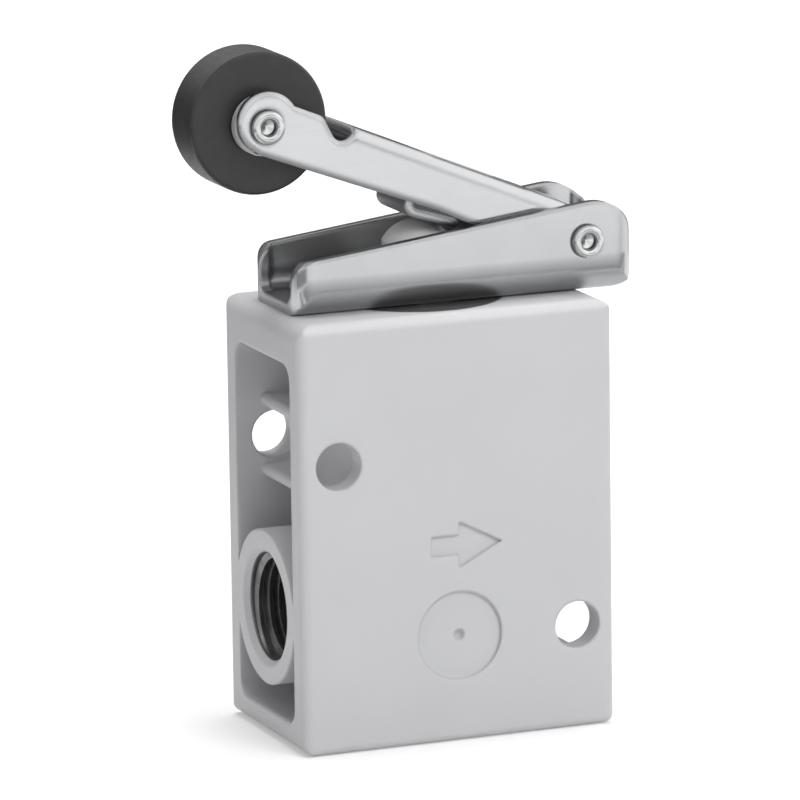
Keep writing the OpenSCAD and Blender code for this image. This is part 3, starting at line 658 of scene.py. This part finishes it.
def cutCross(piece, look, turn):
    length, width, depth = look["recess"]
    for angle in (turn, turn + 90):
        deselect()
        bpy.ops.mesh.primitive_cube_add(size=1)
        cutter = bpy.context.object
        for vertex in cutter.data.vertices:
            deep = vertex.co.z < 0
            vertex.co.x *= length * (look["taper"] if deep else 1)
            vertex.co.y *= width * (look["taper"] if deep else 1)
            vertex.co.z = look["headHeight"] - depth if deep else look["headHeight"] + depth
        cutter.rotation_euler.z = math.radians(angle)
        cut = piece.modifiers.new("recess", "BOOLEAN")
        cut.operation = "DIFFERENCE"
        cut.solver = "EXACT"
        cut.object = cutter
        bpy.context.view_layer.update()
        apply(piece, cut)
        bpy.data.objects.remove(cutter)


def turnScrew(name, place, length, turn, look):
    deselect()
    height = look["headHeight"]
    nearSeat = height / 100
    bpy.ops.mesh.primitive_cylinder_add(vertices=look["sides"], radius=look["headRadius"], depth=height)
    piece = bpy.context.object
    piece.name = name
    for vertex in piece.data.vertices:
        vertex.co.z += height / 2
    pick(piece, "edge", lambda point: point.z > height / 2)
    bpy.ops.mesh.bevel(offset=look["crown"], segments=look["crownSteps"], affect="EDGES")
    bpy.ops.object.mode_set(mode="OBJECT")
    pick(piece, "face", lambda point: point.z < nearSeat)
    bpy.ops.mesh.inset(thickness=look["headRadius"] - look["shankRadius"])
    bpy.ops.mesh.extrude_region_move(TRANSFORM_OT_translate={"value": (0, 0, -length)})
    bpy.ops.object.mode_set(mode="OBJECT")
    pick(piece, "edge", lambda point: point.z < -length / 2)
    bpy.ops.mesh.bevel(offset=look["tipChamfer"], segments=1, affect="EDGES")
    bpy.ops.object.mode_set(mode="OBJECT")
    cutCross(piece, look, turn)
    piece.location = place
    settle(piece, turned["satinSteel"], "housing")
    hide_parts("bracket_screws")


screwLow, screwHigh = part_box("bracket_screws")
screwSpread = screwHigh.x - screwLook["headRadius"]
headSeat = screwHigh.z - screwLook["headHeight"]
for screwName, side, recessTurn in zip(screwLook["names"], (-1, 1), screwLook["turns"]):
    screwPlace = (side * screwSpread, 0, headSeat)
    turnScrew(screwName, screwPlace, headSeat - screwLow.z, recessTurn, screwLook)
print("bracket screws set")

# Floor and light
studio = {
    "floorSize": 6,
    "floorDrop": 0.02 * mm,  # keeps the floor just clear of the base
    "floorColour": (0.72, 0.72, 0.72, 1),
    "floorLift": (0.30, 1.0),  # glow that the camera sees on the floor, at the object and far from it
    "liftReach": (0.05, 1.5),  # distances of those two from the object
    "ambient": 0.41,
    "white": (1, 1, 1, 1),
    "boardColour": (0.02, 0.02, 0.02, 1),
}


def layFloor(look):
    deselect()
    bpy.ops.mesh.primitive_plane_add(size=look["floorSize"], location=(0, 0, -look["floorDrop"]))
    floor = bpy.context.object
    floor.name = "studioFloor"
    material, tree, shader = startMaterial("paleFloor", Roughness=1.0, Specular_IOR_Level=0.0,
                                           Base_Color=look["floorColour"], Emission_Color=look["white"])
    lift = ramp(tree, lengthOf(tree, objectPlace(tree)), *look["liftReach"], *look["floorLift"])
    tree.links.new(math2(tree, "MULTIPLY", seenRays(tree), lift), shader.inputs["Emission Strength"])
    floor.data.materials.append(material)


# Boards that only gloss shows: the dark parts of a studio and its bright panels, as polished metal
# mirrors them. The glow is given at the lower or front edge of a board, and at the other.
boards = {
    "backBoard": {"place": (0.0, 0.12, 0.05), "size": (0.8, 0.1), "turn": (90, 0, 0),
                  "glow": (0.12, 0.12)},
    "cornerBoard": {"place": (0.26, 0.3, 0.08), "size": (0.32, 0.16), "turn": (90, 0, -40),
                    "glow": (0, 0)},
    "leftBoard": {"place": (-0.12, -0.035, 0.0225), "size": (0.19, 0.045), "turn": (90, 0, 90),
                  "glow": (0.4, 0.4)},
    "frontBoard": {"place": (0.345, -0.9, 0.265), "size": (0.27, 0.25), "turn": (90, 0, 0),
                   "glow": (0, 0)},
    "floorBoard": {"place": (0.05, -0.071, 0.0005), "size": (0.3, 0.118), "turn": (0, 0, 0),
                   "glow": (0.95, 0.2)},
    "nearBar": {"place": (0.05, -0.03, 0.001), "size": (0.3, 0.014), "turn": (0, 0, 0),
                "glow": (1.1, 1.1)},
    "skyPanel": {"place": (0.3, -0.55, 0.7), "size": (1.4, 0.7), "turn": (90, 0, 0),
                 "glow": (1.4, 1.4)},
    "frontFloor": {"place": (0.08, -0.21, 0.0005), "size": (0.5, 0.16), "turn": (0, 0, 0),
                   "glow": (1.6, 0.95)},
    "rightPanel": {"place": (0.55, -0.225, 0.44), "size": (1.25, 0.52), "turn": (90, 0, 90),
                   "glow": (1.5, 1.5)},
}


def standBoard(name, look):
    deselect()
    turn = [math.radians(angle) for angle in look["turn"]]
    bpy.ops.mesh.primitive_plane_add(size=1, location=look["place"], rotation=turn)
    board = bpy.context.object
    board.name = name
    board.scale = (*look["size"], 1)
    material, tree, shader = startMaterial(name, Roughness=1.0, Specular_IOR_Level=0.0,
                                           Base_Color=studio["boardColour"],
                                           Emission_Color=studio["white"])
    upward = partOf(tree, objectPlace(tree), "Y")
    glow = ramp(tree, upward, -0.5, 0.5, *look["glow"])  # from edge to edge of a plane of size 1
    tree.links.new(glow, shader.inputs["Emission Strength"])
    board.data.materials.append(material)
    board.visible_camera = False
    board.visible_diffuse = False
    board.visible_shadow = False
    board.visible_transmission = False


lamps = {
    "keyLamp": {"place": (0.22, -0.62, 0.52), "size": 0.45, "power": 2.8},
    "fillLamp": {"place": (-0.75, -0.25, 0.35), "size": 0.5, "power": 0.12},
    "topLamp": {"place": (0.05, 0.1, 0.8), "size": 0.6, "power": 4.7},
}
lampAim = Vector((0, 0, 0.03))


def hangLamp(name, look):
    data = bpy.data.lights.new(name, "AREA")
    data.shape = "DISK"
    data.size = look["size"]
    data.energy = look["power"]
    lamp = bpy.data.objects.new(name, data)
    bpy.context.scene.collection.objects.link(lamp)
    lamp.location = look["place"]
    lamp.rotation_euler = (lampAim - Vector(look["place"])).to_track_quat("-Z", "Y").to_euler()
    lamp.visible_glossy = False  # the metal mirrors the boards and the white room alone


def lightWorld(look):
    world = bpy.data.worlds.new("studioWorld")
    world.use_nodes = True
    bpy.context.scene.world = world
    tree = world.node_tree
    background = tree.nodes["Background"]
    background.inputs["Color"].default_value = look["white"]
    level = ramp(tree, seenRays(tree), 0.0, 1.0, look["ambient"], 1.0)
    tree.links.new(level, background.inputs["Strength"])


layFloor(studio)
for boardName, boardLook in boards.items():
    standBoard(boardName, boardLook)
for lampName, lampLook in lamps.items():
    hangLamp(lampName, lampLook)
lightWorld(studio)
bpy.context.scene.view_settings.view_transform = "Standard"
print("floor and light set")
